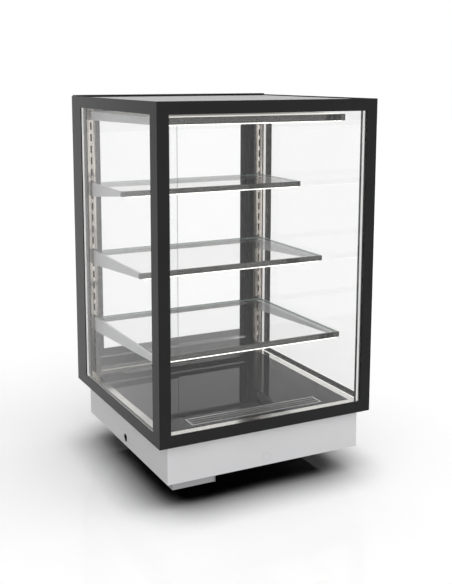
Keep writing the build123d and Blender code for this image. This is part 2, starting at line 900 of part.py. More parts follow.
def thermostat_dial():
    """A knob with a raised pointer, on a spindle through the plate and the sill."""
    start = back + control_plate + dial_lift
    knob = rod(dial_radius, (start, start + dial_depth), dial_x, control_z)
    knob = fillet(knob.edges().sort_by(Axis.Y)[-1], dial_round)
    pointer = slab(
        (dial_x - pointer_width / 2, dial_x + pointer_width / 2),
        (start + dial_depth, start + dial_depth + pointer_height),
        (control_z, control_z + dial_radius - pointer_inset),
    )
    spindle = rod(dial_spindle, (jamb_back - dial_spindle_tail, start), dial_x, control_z)
    return knob + pointer + spindle


def screw():
    """A pan-head screw with a cross recess, its head on Z = 0 and its shank below."""
    head = upright_rod(screw_head_radius, 0, 0, (0, screw_head_height))
    head = fillet(head.edges().sort_by(Axis.Z)[-1], screw_head_round)
    long, wide, deep = screw_cross
    arm = slab((-long / 2, long / 2), (-wide / 2, wide / 2), (screw_head_height - deep, screw_head_height))
    return head + upright_rod(screw_radius, 0, 0, (-screw_length, 0)) - arm - Rot(0, 0, 90) * arm


def screws():
    """Four in the control plate, four in the fan and four in the connection box."""
    one = screw()
    to_the_back = Rot(-90, 0, 0) * one
    placed = [Pos(x, back + control_plate, z) * to_the_back for x, z in control_screws]
    placed += [Pos(x, bulkhead_y + bulkhead_sheet, z) * to_the_back for x, z in fan_screws]
    placed += [Pos(x, y, base_bottom + base_sheet) * one for x, y in box_screws]
    return placed


save_pair("front_post", front_post())
save_pair("rear_post", rear_post())
save("bottom_rail_front", front_rail(0, 0, base_front - fit_gap))
save("top_rail_front", front_rail(case_height - rail_face, roof_flange, front + angle_wall + top_flange))
bottom_y = (base_front - fit_gap, base_back + fit_gap)
save_pair("bottom_rail", side_rail(0, 0, base_half + fit_gap, bottom_y))
top_y = (front + angle_wall + top_flange, jamb_front)
save_pair("top_rail", side_rail(case_height - rail_face, roof_flange, inner - top_flange, top_y))
save("rear_sill", rear_sill())
save("rear_head", rear_head())
glazing()
save("top_panel", top_panel())
save("ceiling_panel", ceiling_panel())
save_pair("upright", upright())
shelves()
canopy()
save("door_track", door_track())
doors()
save("deck_glass", deck_glass())
save("deck_inserts", slot_insert(air_slots[0], front_slot_slats), slot_insert(air_slots[1], 0))
save("deck_ledge", deck_ledge())
save("base_shell", base_shell())
base_sides()
save("connection_box", connection_box())
save("terminal_block", terminal_block())
save("fan_bulkhead", fan_bulkhead())
save("fan_frame", fan_frame())
save("fan_impeller", fan_impeller())
save("heating_element", heating_element())
save("thermostat_bulb", *thermostat_bulb())
save("screws", *screws())
save("cable_gland", cable_gland())
save("control_panel", control_panel())
save("rocker_switch", rocker_switch())
save("thermostat_dial", thermostat_dial())
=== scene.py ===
# %% [markdown]
# # A drop-in heated display case
#
# The construction is already there: posts, rails, panes, shelves, doors and the base
# come in as finished parts at their real size. This lesson dresses them. It gives each
# surface the finish of the real material, adds the small things that a fitter or a
# glazier adds last, and sets up a plain photo studio round the case.
#
# All lengths are in metres. X runs to the right seen from the customer's side, Y to the
# back and Z up, with Z = 0 at the counter top.

# %% Load the frame
import json
import math

import bmesh
import bpy
from mathutils import Matrix, Vector


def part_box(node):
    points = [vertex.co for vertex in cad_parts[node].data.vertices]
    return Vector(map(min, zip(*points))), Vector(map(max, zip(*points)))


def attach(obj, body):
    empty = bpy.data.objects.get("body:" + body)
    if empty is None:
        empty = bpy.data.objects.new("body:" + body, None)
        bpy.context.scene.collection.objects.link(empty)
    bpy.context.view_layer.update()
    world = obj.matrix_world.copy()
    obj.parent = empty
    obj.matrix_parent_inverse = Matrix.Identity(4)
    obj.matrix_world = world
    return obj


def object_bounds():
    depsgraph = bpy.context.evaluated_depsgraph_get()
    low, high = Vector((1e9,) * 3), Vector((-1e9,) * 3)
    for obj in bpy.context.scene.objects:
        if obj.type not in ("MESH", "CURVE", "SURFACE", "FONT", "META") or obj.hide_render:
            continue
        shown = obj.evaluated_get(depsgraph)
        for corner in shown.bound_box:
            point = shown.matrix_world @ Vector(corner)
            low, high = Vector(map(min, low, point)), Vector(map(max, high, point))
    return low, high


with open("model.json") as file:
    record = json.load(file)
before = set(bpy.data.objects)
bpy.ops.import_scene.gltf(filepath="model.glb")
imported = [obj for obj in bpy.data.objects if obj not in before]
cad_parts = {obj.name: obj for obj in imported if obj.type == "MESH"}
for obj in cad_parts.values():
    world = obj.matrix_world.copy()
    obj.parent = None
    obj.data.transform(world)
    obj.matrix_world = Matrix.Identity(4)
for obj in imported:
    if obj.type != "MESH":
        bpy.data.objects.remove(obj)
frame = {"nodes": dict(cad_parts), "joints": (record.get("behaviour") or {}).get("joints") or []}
cad_low, cad_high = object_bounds()
nodes = frame["nodes"]
size = cad_high - cad_low
print(f"{len(nodes)} parts, {size.x:.3f} x {size.y:.3f} x {size.z:.3f} m")

# %% [markdown]
# ## The camera
#
# The case is seen from its front left corner, a little from above, through a short
# telephoto lens. The picture was cropped from a wider one, so the point that the lens
# looks at straight ahead isn't the middle of the frame. A lens shift says exactly that,
# and keeps the case's upright edges almost parallel.

# %% Place the camera
IMAGE_WIDTH = 452
IMAGE_HEIGHT = 584
CAMERA_PLACE = (-1.119, -2.2123, 0.8733)
CAMERA_TURN = math.radians(26.593)
CAMERA_DIP = math.radians(9.121)
FOCAL_PIXELS = 932.07
STRAIGHT_AHEAD = (212.65, 223.96)

camera_data = bpy.data.cameras.new("camera")
camera_data.sensor_width = 36.0
camera_data.lens = FOCAL_PIXELS * camera_data.sensor_width / IMAGE_HEIGHT
camera_data.shift_x = (IMAGE_WIDTH / 2 - STRAIGHT_AHEAD[0]) / IMAGE_HEIGHT
camera_data.shift_y = (STRAIGHT_AHEAD[1] - IMAGE_HEIGHT / 2) / IMAGE_HEIGHT
camera = bpy.data.objects.new("camera", camera_data)
camera.location = CAMERA_PLACE
camera.rotation_euler = (math.pi / 2 - CAMERA_DIP, 0, -CAMERA_TURN)
bpy.context.scene.collection.objects.link(camera)
bpy.context.scene.camera = camera
print(f"lens {camera_data.lens:.1f} mm, shift {camera_data.shift_x:.3f}, {camera_data.shift_y:.3f}")

# %% [markdown]
# ## Node helpers
#
# Every finish here is procedural: a few nodes make the small changes in colour, gloss
# and height that tell powder coat from polished steel. The helpers below add one step
# each, so that a finish reads as a short recipe. These first ones do the sums that a
# finish needs to know where on a part it is and which way the surface faces.

# %% Helpers for nodes
def feed(tree, socket, value):
    """Give a socket a number, or link another node's output to it."""
    if isinstance(value, float):
        socket.default_value = value
    else:
        tree.links.new(value, socket)


def node_math(tree, operation, *values):
    """A math node in a tree on values that are each a socket or a number."""
    node = tree.nodes.new("ShaderNodeMath")
    node.operation = operation
    for socket, value in zip(node.inputs, values):
        feed(tree, socket, value)
    return node.outputs["Value"]


def map_range(tree, value, start, end, low, high):
    """A value that runs from start to end, made to run from low to high."""
    ranged = tree.nodes.new("ShaderNodeMapRange")
    names = ("Value", "From Min", "From Max", "To Min", "To Max")
    for name, given in zip(names, (value, start, end, low, high)):
        feed(tree, ranged.inputs[name], given)
    return ranged.outputs["Result"]


def axes_of(tree, coordinate):
    """The X, Y and Z of a coordinate such as Object, a place, or Normal, the way it faces."""
    source = tree.nodes.new("ShaderNodeTexCoord")
    split = tree.nodes.new("ShaderNodeSeparateXYZ")
    tree.links.new(source.outputs[coordinate], split.inputs["Vector"])
    return split.outputs


print("helpers for math, ranges and axes")

# %% [markdown]
# Patterns use Object coordinates, which are metres here, so a noise scale of 500 makes
# a grain of about 2 mm. A noise seldom leaves the middle of its range, so that middle is
# stretched to reach both ends of what it drives.

# %% Helpers for materials
NOISE_LOW, NOISE_HIGH = 0.3, 0.7
DARK_END, LIGHT_END = 0.35, 0.65
finishes = {}


def start_material(name):
    """A new material, its node tree and its Principled shader."""
    material = bpy.data.materials.new(name)
    material.use_nodes = True
    finishes[name] = material
    tree = material.node_tree
    return material, tree, tree.nodes["Principled BSDF"]


def grain(tree, scale, detail, stretch=(1, 1, 1)):
    """The value of a noise on Object coordinates, stretched along some axes."""
    place = tree.nodes.new("ShaderNodeTexCoord")
    mapping = tree.nodes.new("ShaderNodeMapping")
    mapping.inputs["Scale"].default_value = stretch
    noise = tree.nodes.new("ShaderNodeTexNoise")
    noise.inputs["Scale"].default_value = scale
    noise.inputs["Detail"].default_value = detail
    tree.links.new(place.outputs["Object"], mapping.inputs["Vector"])
    tree.links.new(mapping.outputs["Vector"], noise.inputs["Vector"])
    return noise.outputs["Fac"]


def spread_value(tree, value, low, high):
    """A noise's middle range stretched to run from low to high."""
    return map_range(tree, value, NOISE_LOW, NOISE_HIGH, low, high)


def spread_colour(tree, value, dark, light):
    """A noise turned into shades between two colours."""
    ramp = tree.nodes.new("ShaderNodeValToRGB")
    ramp.color_ramp.elements[0].position = DARK_END
    ramp.color_ramp.elements[0].color = (*dark, 1)
    ramp.color_ramp.elements[1].position = LIGHT_END
    ramp.color_ramp.elements[1].color = (*light, 1)
    tree.links.new(value, ramp.inputs["Fac"])
    return ramp.outputs["Color"]


print(f"a noise's range from {NOISE_LOW} to {NOISE_HIGH} is stretched")

# %% Helpers for uneven surfaces
def shade(colour, factor):
    """A colour made darker or lighter by a factor."""
    return tuple(min(1.0, channel * factor) for channel in colour)


def uneven_colour(tree, shader, value, colour, vary):
    """Let the colour wander by a share darker and lighter with a noise."""
    tone = spread_colour(tree, value, shade(colour, 1 - vary), shade(colour, 1 + vary))
    tree.links.new(tone, shader.inputs["Base Color"])


def uneven_gloss(tree, shader, value, roughness, smoother, duller):
    """Let the roughness wander by a step smoother and duller with a noise."""
    rough = spread_value(tree, value, roughness - smoother, roughness + duller)
    tree.links.new(rough, shader.inputs["Roughness"])


def add_bump(tree, shader, value, depth):
    """Raise and sink the surface by a depth in metres where the value is high or low."""
    bump = tree.nodes.new("ShaderNodeBump")
    bump.inputs["Strength"].default_value = 1.0
    bump.inputs["Distance"].default_value = depth
    tree.links.new(value, bump.inputs["Height"])
    tree.links.new(bump.outputs["Normal"], shader.inputs["Normal"])


print("helpers for uneven colour, gloss and height")

# %% [markdown]
# ## Powder coat
#
# The black angle frame, the grey roof and the light base are steel with a baked powder
# coat. Close up it has a fine orange-peel skin about a millimetre across, and its gloss
# changes slowly where hands and cloths have been. One function makes all the coats:
# colour, roughness, the depth of the skin and the share that the surface mirrors differ.

# %% Powder coats
PEEL_SCALE = 900.0
HAND_PATCHES = 9.0


def powder_coat(name, colour, roughness, peel_depth, vary=0.06, mirrored=0.5):
    """Paint with an orange-peel skin, whose colour and gloss change slowly."""
    material, tree, shader = start_material(name)
    shader.inputs["Specular IOR Level"].default_value = mirrored
    patches = grain(tree, HAND_PATCHES, 4.0)
    uneven_colour(tree, shader, patches, colour, vary)
    uneven_gloss(tree, shader, patches, roughness, smoother=0.03, duller=0.04)
    add_bump(tree, shader, grain(tree, PEEL_SCALE, 2.0), peel_depth)
    return material


black_coat = powder_coat("black powder coat", (0.019, 0.019, 0.0195), 0.16, 0.000004, mirrored=0.095)
roof_coat = powder_coat("roof grey coat", (0.40, 0.40, 0.41), 0.42, 0.00001, 0.02, mirrored=0.2)
base_coat = powder_coat("base grey coat", (0.70, 0.70, 0.71), 0.38, 0.00001, 0.015)
box_coat = powder_coat("connection box coat", (0.36, 0.36, 0.37), 0.40, 0.00001, 0.03)
bracket_coat = powder_coat("bracket grey coat", (0.62, 0.62, 0.63), 0.35, 0.000008, 0.02)
rail_coat = powder_coat("dark metallic coat", (0.105, 0.103, 0.098), 0.11, 0.0000004, 0.03)
rail_shader = rail_coat.node_tree.nodes["Principled BSDF"]
rail_shader.inputs["Metallic"].default_value = 1.0
print(f"{len(finishes)} coats")

# %% [markdown]
# ## Bare metal
#
# The uprights and the deck's surround are polished, the slot rims and the ceiling are
# brushed, and the parts inside the base are zinc plated. Brushing leaves long fine
# scratches along the sheet, so the noise is squeezed across them and stretched along
# them. The uprights were rolled, which leaves wider streaks down their length; their
# strong swings from dark to light colour are partly that tone and partly a painted
# reflection. Heat has browned the element's sheath.

# %% Metals
SCRATCH_SCALE = 1400.0
SCRATCH_STRETCH = 0.02
DULL_PATCHES = 14.0


def metal(name, colour, roughness, line_axis, line_depth, vary=0.05, line_scale=SCRATCH_SCALE):
    """Metal whose fine scratches run along one axis: 0 is X, 1 is Y and 2 is Z."""
    material, tree, shader = start_material(name)
    shader.inputs["Metallic"].default_value = 1.0
    stretch = [1.0, 1.0, 1.0]
    stretch[line_axis] = SCRATCH_STRETCH
    lines = grain(tree, line_scale, 2.0, stretch)
    uneven_colour(tree, shader, lines, colour, vary)
    add_bump(tree, shader, lines, line_depth)
    patches = grain(tree, DULL_PATCHES, 3.0)
    uneven_gloss(tree, shader, patches, roughness, smoother=0.04, duller=0.05)
    return material


# The uprights' wide colour streaks: partly rolled tone, partly a painted reflection.
polished_steel = metal("polished steel", (0.44, 0.405, 0.365), 0.08, 2, 0.000002, 0.7, 190.0)
slot_rim_steel = metal("brushed slot rim steel", (0.55, 0.55, 0.54), 0.36, 0, 0.000002)
deck_steel = metal("polished deck steel", (0.74, 0.72, 0.68), 0.17, 0, 0.0000005)
ceiling_steel = metal("brushed ceiling steel", (0.72, 0.72, 0.72), 0.30, 1, 0.000002)
track_aluminium = metal("track aluminium", (0.84, 0.84, 0.84), 0.20, 0, 0.000001)
zinc_plate = metal("zinc plate", (0.55, 0.56, 0.58), 0.36, 0, 0.000003, 0.12)
heated_sheath = metal("heat-tinted sheath", (0.30, 0.23, 0.17), 0.34, 1, 0.000003, 0.2)
control_steel = metal("control plate steel", (0.66, 0.66, 0.66), 0.26, 0, 0.000002)
print(f"{len(finishes)} coats and metals")

# %% [markdown]
# The uprights are channels, bent from sheet on both sides of the flat that holds the
# slots. The bends mirror dark things beside the case and look darker than the flat. That
# reflection is painted: the finish asks how far a point lies from the middle of its
# upright, and mixes in a dark tone past the flat, a painted reflection.

# %% Painted dark reflection on the uprights' bends
BEND_WIDTH = 0.0045
PAINTED_BEND_REFLECTION = (0.06, 0.055, 0.05)
upright_low, upright_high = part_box("upright_right")
flat_middle = (upright_low.x + upright_high.x) / 2
flat_reach = (upright_high.x - upright_low.x) / 2 - BEND_WIDTH

steel_tree = polished_steel.node_tree
steel_shader = steel_tree.nodes["Principled BSDF"]
off_middle = node_math(steel_tree, "ABSOLUTE", axes_of(steel_tree, "Object")["X"])
on_flat = node_math(steel_tree, "COMPARE", off_middle, flat_middle, flat_reach)
bends = steel_tree.nodes.new("ShaderNodeMix")
bends.data_type = "RGBA"
painted_reflection_colour, flat_colour = [socket for socket in bends.inputs if socket.type == "RGBA"]
# The dark tone is a painted reflection of dark things beside the case.
painted_reflection_colour.default_value = (*PAINTED_BEND_REFLECTION, 1)
rolled_tone = steel_shader.inputs["Base Color"].links[0].from_socket
steel_tree.links.new(rolled_tone, flat_colour)
steel_tree.links.new(on_flat, bends.inputs["Factor"])
mixed = next(socket for socket in bends.outputs if socket.type == "RGBA")
steel_tree.links.new(mixed, steel_shader.inputs["Base Color"])
print(f"bends darkened {BEND_WIDTH * 1000:.1f} mm in from the uprights' edges")

# %% [markdown]
# ## Glass
#
# A pane of clear glass shows two things: what is behind it, a touch greener and
# darker, and a faint mirror image that grows strong at a flat angle. A real refracting
# glass would hide the case's inside from its own lamps in a path tracer, so each pane
# is a see-through surface mixed with a mirror by Fresnel. A pane has two faces that
# mirror, and light leaves through the second without bending here, so the face that
# is met first carries the reflections of both: 2F / (1 + F) for a single face's F.
# The index is set below real glass's 1.52, because this room is white all round, where
# a real studio has dark walls that keep a pane clear. The front unit is seen nearly
# straight on, where little is mirrored, so its index is a bit higher than that of the
# other panes. The cut edges of a shelf are the one place where its glass looks green.
# The polished edge of an upright pane is nearly white and glows a little: a painted glow
# in place of the case's own light that the glass pipes out. The pane's own normals pick
# the edges out.

# %% Helpers for glass
FACE_LIMIT = 0.5
CUT_ROUGHNESS = 0.12


def mirror_share(tree, index):
    """How much the pane mirrors: both faces' share on the face met first, none behind."""
    fresnel = tree.nodes.new("ShaderNodeFresnel")
    fresnel.inputs["IOR"].default_value = index
    one_face = fresnel.outputs["Fac"]
    twice = node_math(tree, "MULTIPLY", one_face, 2.0)
    both_faces = node_math(tree, "DIVIDE", twice, node_math(tree, "ADD", one_face, 1.0))
    geometry = tree.nodes.new("ShaderNodeNewGeometry")
    met_first = node_math(tree, "SUBTRACT", 1.0, geometry.outputs["Backfacing"])
    return node_math(tree, "MULTIPLY", both_faces, met_first)


def edge_share(tree, axis):
    """1 on the pane's cut edges and 0 on its two faces."""
    along_axis = node_math(tree, "ABSOLUTE", axes_of(tree, "Normal")[axis])
    return node_math(tree, "LESS_THAN", along_axis, FACE_LIMIT)


def clear_glass(name, axis, index, passed, edge_colour, painted_glow=0.0):
    """A pane whose thickness lies along an axis, with the colour that each face lets through."""
    material, tree, edge = start_material(name)
    edge.inputs["Base Color"].default_value = (*edge_colour, 1)
    edge.inputs["Roughness"].default_value = CUT_ROUGHNESS
    edge.inputs["Emission Color"].default_value = (*edge_colour, 1)
    edge.inputs["Emission Strength"].default_value = painted_glow
    see_through = tree.nodes.new("ShaderNodeBsdfTransparent")
    see_through.inputs["Color"].default_value = (*passed, 1)
    mirror = tree.nodes.new("ShaderNodeBsdfGlossy")
    mirror.inputs["Roughness"].default_value = 0.0
    faces = tree.nodes.new("ShaderNodeMixShader")
    tree.links.new(mirror_share(tree, index), faces.inputs["Fac"])
    tree.links.new(see_through.outputs["BSDF"], faces.inputs[1])
    tree.links.new(mirror.outputs["BSDF"], faces.inputs[2])
    whole = tree.nodes.new("ShaderNodeMixShader")
    tree.links.new(edge_share(tree, axis), whole.inputs["Fac"])
    tree.links.new(faces.outputs["Shader"], whole.inputs[1])
    tree.links.new(edge.outputs["BSDF"], whole.inputs[2])
    tree.links.new(whole.outputs["Shader"], tree.nodes["Material Output"].inputs["Surface"])
    return material


print(f"an edge is where less than {FACE_LIMIT} of the normal points along the thickness")

# %% Clear glass
FRONT_INDEX = 1.3
PANE_INDEX = 1.16
CLEAR = (0.988, 0.9885, 0.988)
EDGE_GREEN = (0.20, 0.30, 0.27)
EDGE_PALE = (0.74, 0.79, 0.77)
EDGE_BRIGHT = (0.90, 0.91, 0.90)
# The edges of the upright panes, and the spacer bars, glow: a painted glow.
PAINTED_EDGE_GLOW = 0.6
front_glass = clear_glass("front glass", 1, FRONT_INDEX, CLEAR, EDGE_BRIGHT, PAINTED_EDGE_GLOW)
side_glass = clear_glass("side glass", 0, PANE_INDEX, CLEAR, EDGE_BRIGHT, PAINTED_EDGE_GLOW)
shelf_glass = clear_glass("shelf glass", 2, PANE_INDEX, CLEAR, EDGE_GREEN)
door_glass = clear_glass("door glass", 1, PANE_INDEX, CLEAR, EDGE_PALE)
print(f"four kinds of glass, index {FRONT_INDEX} in front and {PANE_INDEX} elsewhere")

# %% [markdown]
# ## Spacers between the panes
#
# The panes of a unit are held apart by aluminium bars. The sides that are glued to the
# panes are black with butyl, and the sides that face the space between the panes stay
# bright, which is why one edge of the case shows a black line and the other a bright
# one. The bars also glow a little, a painted glow like that of the pane edges, which
# makes the bright line brighter. The bars of all three units are one part, so the finish
# asks where it is: the front unit lies before a plane, and its glued sides face front and
# back, while those of the side units face left and right.

# %% Spacer bars
BUTYL = (0.012, 0.012, 0.013)
BRIGHT_BAR = (0.92, 0.92, 0.90)
BAR_ROUGHNESS = 0.3
BAR_GRAIN, BAR_GRAIN_DEPTH = 800.0, 0.000002
PAST_PANE = 0.002
front_unit_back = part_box("front_glass_inner")[1].y + PAST_PANE

spacer_bar, spacer_tree, spacer_shader = start_material("spacer bar")
bar_faces = axes_of(spacer_tree, "Normal")
bar_y = axes_of(spacer_tree, "Object")["Y"]
in_front = node_math(spacer_tree, "LESS_THAN", bar_y, front_unit_back)
in_side = node_math(spacer_tree, "SUBTRACT", 1.0, in_front)
faces_front = node_math(spacer_tree, "ABSOLUTE", bar_faces["Y"])
faces_side = node_math(spacer_tree, "ABSOLUTE", bar_faces["X"])
glued = node_math(
    spacer_tree, "ADD",
    node_math(spacer_tree, "MULTIPLY", in_front, faces_front),
    node_math(spacer_tree, "MULTIPLY", in_side, faces_side),
)
bar_tone = spread_colour(spacer_tree, glued, BRIGHT_BAR, BUTYL)
spacer_tree.links.new(bar_tone, spacer_shader.inputs["Base Color"])
# The bar's colour also glows at the edges' strength, a painted glow.
spacer_tree.links.new(bar_tone, spacer_shader.inputs["Emission Color"])
spacer_shader.inputs["Emission Strength"].default_value = PAINTED_EDGE_GLOW
spacer_shader.inputs["Roughness"].default_value = BAR_ROUGHNESS
add_bump(spacer_tree, spacer_shader, grain(spacer_tree, BAR_GRAIN, 2.0), BAR_GRAIN_DEPTH)
print(f"the front unit's bars lie before y = {front_unit_back:.3f} m")

# %% [markdown]
# ## Black glass and plastics
#
# The deck is black ceramic glass: nearly no colour of its own and a clear mirror on
# top, a little dulled by wiping. Its index is low for the same reason as the panes'.
# Door channels, fan, gland and dial are black plastic with a fine moulded texture. The
# prints on the controls are plain paint and take the same recipe.

# %% Black glass
DECK_INDEX = 1.2
SMEAR_SCALE = 18.0
SMEAR_ROUGHNESS = 0.012

deck_black, deck_tree, deck_shader = start_material("black ceramic glass")
deck_shader.inputs["Base Color"].default_value = (0.008, 0.008, 0.009, 1)
deck_shader.inputs["IOR"].default_value = DECK_INDEX
smears = grain(deck_tree, SMEAR_SCALE, 5.0)
uneven_gloss(deck_tree, deck_shader, smears, 0.0, smoother=0.0, duller=SMEAR_ROUGHNESS)
print(f"black glass with smears up to a roughness of {SMEAR_ROUGHNESS}")

# %% Plastics
MOULD_SCALE = 1600.0
WORN_PATCHES = 25.0


def plastic(name, colour, roughness, texture_depth):
    """Moulded plastic or paint with a fine texture and a slightly uneven gloss."""
    material, tree, shader = start_material(name)
    patches = grain(tree, WORN_PATCHES, 3.0)
    uneven_colour(tree, shader, patches, colour, vary=0.1)
    uneven_gloss(tree, shader, patches, roughness, smoother=0.04, duller=0.05)
    add_bump(tree, shader, grain(tree, MOULD_SCALE, 2.0), texture_depth)
    return material


black_plastic = plastic("black moulded plastic", (0.02, 0.02, 0.021), 0.45, 0.00001)
switch_plastic = plastic("switch plastic", (0.015, 0.015, 0.016), 0.2, 0.000002)
terminal_plastic = plastic("terminal plastic", (0.78, 0.77, 0.72), 0.4, 0.000005)
printed_white = plastic("printed white", (0.82, 0.82, 0.82), 0.5, 0.000001)
printed_black = plastic("printed black", (0.03, 0.03, 0.03), 0.5, 0.000001)
print(f"{len(finishes)} finishes so far")

# %% [markdown]
# ## Lamps
#
# The lamps sit behind opal covers, through which the row of small light sources still
# shows as brighter spots, so the glow follows a wave along X. The light that leaks over
# the front rail onto the canopy's sheet is painted on the sheet: the sheet itself glows in
# a warm white line that fades to the back.

# %% Lamp covers
LAMP_PITCH = 0.0125
BETWEEN_LAMPS = 0.5
COVER_ROUGHNESS = 0.35
COVER_GRAIN, COVER_GRAIN_DEPTH = 700.0, 0.00001


def spots_along(tree, pitch):
    """A wave from 0 to 1 along X, with its crests a pitch apart."""
    turns = node_math(tree, "MULTIPLY", axes_of(tree, "Object")["X"], 2 * math.pi / pitch)
    return map_range(tree, node_math(tree, "COSINE", turns), -1.0, 1.0, 0.0, 1.0)


def lamp_cover(name, colour, glow):
    """An opal cover that glows, more over each lamp than between them."""
    material, tree, shader = start_material(name)
    shader.inputs["Base Color"].default_value = (*colour, 1)
    shader.inputs["Roughness"].default_value = COVER_ROUGHNESS
    between = shade(colour, BETWEEN_LAMPS)
    spots = spread_colour(tree, spots_along(tree, LAMP_PITCH), between, colour)
    tree.links.new(spots, shader.inputs["Emission Color"])
    shader.inputs["Emission Strength"].default_value = glow
    add_bump(tree, shader, grain(tree, COVER_GRAIN, 2.0), COVER_GRAIN_DEPTH)
    return material


led_cover = lamp_cover("shelf light cover", (1.0, 0.985, 0.95), 1.8)
canopy_cover = lamp_cover("canopy light cover", (1.0, 0.975, 0.92), 2.0)
print(f"two covers with a lamp every {LAMP_PITCH * 1000:.1f} mm")

# %% Canopy sheet
LEAK_REACH = 0.075
LEAK_NEAR, LEAK_FAR = 1.1, 0.12
PAINTED_LEAK_COLOUR = (1.0, 0.965, 0.90)
sheet_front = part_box("canopy_panel")[0].y

canopy_sheet = metal("canopy sheet", (0.72, 0.72, 0.71), 0.30, 1, 0.000002)
sheet_tree = canopy_sheet.node_tree
sheet_shader = sheet_tree.nodes["Principled BSDF"]
sheet_y = axes_of(sheet_tree, "Object")["Y"]
# Painted light: the sheet glows most at its front edge and less towards the back.
painted_leak = map_range(sheet_tree, sheet_y, sheet_front, sheet_front + LEAK_REACH, LEAK_NEAR, LEAK_FAR)
sheet_tree.links.new(painted_leak, sheet_shader.inputs["Emission Strength"])
sheet_shader.inputs["Emission Color"].default_value = (*PAINTED_LEAK_COLOUR, 1)
print(f"{len(finishes)} finishes")

# %% [markdown]
# ## Dressing the parts
#
# Each part takes one finish. The parts keep their shape, so only the material in their
# slots changes. A loop does it, from a list that reads like a parts list.

# %% List the parts by finish
SHELVES = (1, 2, 3)


def on_each_shelf(kind):
    """The names of one kind of part on all the shelves."""
    return [f"shelf_{number}_{kind}" for number in SHELVES]


parts_list = {
    black_coat: [
        "front_post_left", "front_post_right", "rear_post_left", "rear_post_right",
        "bottom_rail_front", "bottom_rail_left", "bottom_rail_right",
        "top_rail_front", "top_rail_left", "top_rail_right", "rear_sill", "rear_head",
    ],
    roof_coat: ["top_panel"],
    base_coat: ["base_shell", "base_side_left", "base_side_right"],
    box_coat: ["connection_box"],
    bracket_coat: ["canopy_brackets", *on_each_shelf("brackets")],
    rail_coat: ["canopy_rails", *on_each_shelf("rails")],
    polished_steel: ["upright_left", "upright_right"],
    slot_rim_steel: ["deck_inserts"],
    deck_steel: ["deck_ledge"],
    ceiling_steel: ["ceiling_panel"],
    canopy_sheet: ["canopy_panel"],
    track_aluminium: ["door_track"],
    zinc_plate: ["fan_bulkhead", "thermostat_bulb", "screws"],
    heated_sheath: ["heating_element"],
    control_steel: ["control_panel"],
    front_glass: ["front_glass_outer", "front_glass_inner"],
    side_glass: ["side_glass_outer", "side_glass_inner"],
    shelf_glass: on_each_shelf("glass"),
    door_glass: ["door_left_glass", "door_right_glass"],
    deck_black: ["deck_glass"],
    black_plastic: [
        "door_left_profiles", "door_right_profiles", "fan_frame", "fan_impeller", "cable_gland",
        "thermostat_dial",
    ],
    spacer_bar: ["glass_spacers"],
    switch_plastic: ["rocker_switch"],
    terminal_plastic: ["terminal_block"],
    led_cover: on_each_shelf("led"),
    canopy_cover: ["canopy_lamps"],
}
print(f"{len(parts_list)} finishes are used")

# %% Give each part its finish
dressed = 0
for finish, names in parts_list.items():
    for name in names:
        mesh = nodes[name].data
        mesh.materials.clear()
        mesh.materials.append(finish)
        dressed += 1
print(f"{dressed} of {len(nodes)} parts dressed")

# %% [markdown]
# ## The marks on the controls
#
# The thermostat has a printed scale round its dial, and the switch has its I and O. The
# print is a paint film a tenth of a millimetre thick. Each tick is a thin box made
# with bmesh, and each number is a text that is turned into a mesh and laid on the plate.

# %% Helpers for printed marks
FILM = 0.0001


def make_piece(name, mesh, finish, body):
    """Put a finished mesh in the scene: it wears a finish and rides on a body."""
    mesh.materials.clear()
    mesh.materials.append(finish)
    piece = bpy.data.objects.new(name, mesh)
    bpy.context.scene.collection.objects.link(piece)
    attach(piece, body)


def add_tile(shape, width, height, matrix):
    """Add a printed tile, width across and height up, lying in the XZ plane of a matrix."""
    made = bmesh.ops.create_cube(shape, size=1.0)
    bmesh.ops.scale(shape, vec=(width, FILM, height), verts=made["verts"])
    bmesh.ops.transform(shape, matrix=matrix, verts=made["verts"])


def add_text(shape, words, height, matrix):
    """Add a word's flat mesh, centred, facing -Y before the matrix turns it."""
    text = bpy.data.curves.new("words", "FONT")
    text.body = words
    text.size = height
    text.align_x = "CENTER"
    text.align_y = "CENTER"
    text.extrude = FILM / 2
    writing = bpy.data.objects.new("words", text)
    mesh = bpy.data.meshes.new_from_object(writing)
    mesh.transform(matrix @ Matrix.Rotation(math.pi / 2, 4, "X"))
    shape.from_mesh(mesh)
    bpy.data.objects.remove(writing)
    bpy.data.curves.remove(text)
    bpy.data.meshes.remove(mesh)


def finish_mesh(shape, name):
    """Turn a bmesh into a mesh and let the bmesh go."""
    mesh = bpy.data.meshes.new(name)
    shape.to_mesh(mesh)
    shape.free()
    return mesh


print(f"printed film {FILM * 1000:.1f} mm thick")

# %% Print the thermostat's scale
FACING_STAFF = Matrix.Rotation(math.pi, 4, "Z")
SCALE_START, SCALE_SWEEP, SCALE_STEPS = 0, 270, 9
DEGREES_A_STEP, NUMBER_EVERY = 10, 3
TICK_INNER, TICK_LENGTH, TICK_WIDTH = 0.0168, 0.0016, 0.0005
NUMBER_RADIUS, NUMBER_HEIGHT = 0.0205, 0.0026

plate_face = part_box("control_panel")[1].y
dial_low, dial_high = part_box("thermostat_dial")
dial_middle = Vector(((dial_low.x + dial_high.x) / 2, plate_face, (dial_low.z + dial_high.z) / 2))
on_plate = Matrix.Translation(dial_middle + Vector((0, FILM / 2, 0))) @ FACING_STAFF
out_to_tick = Matrix.Translation((0, 0, TICK_INNER + TICK_LENGTH / 2))

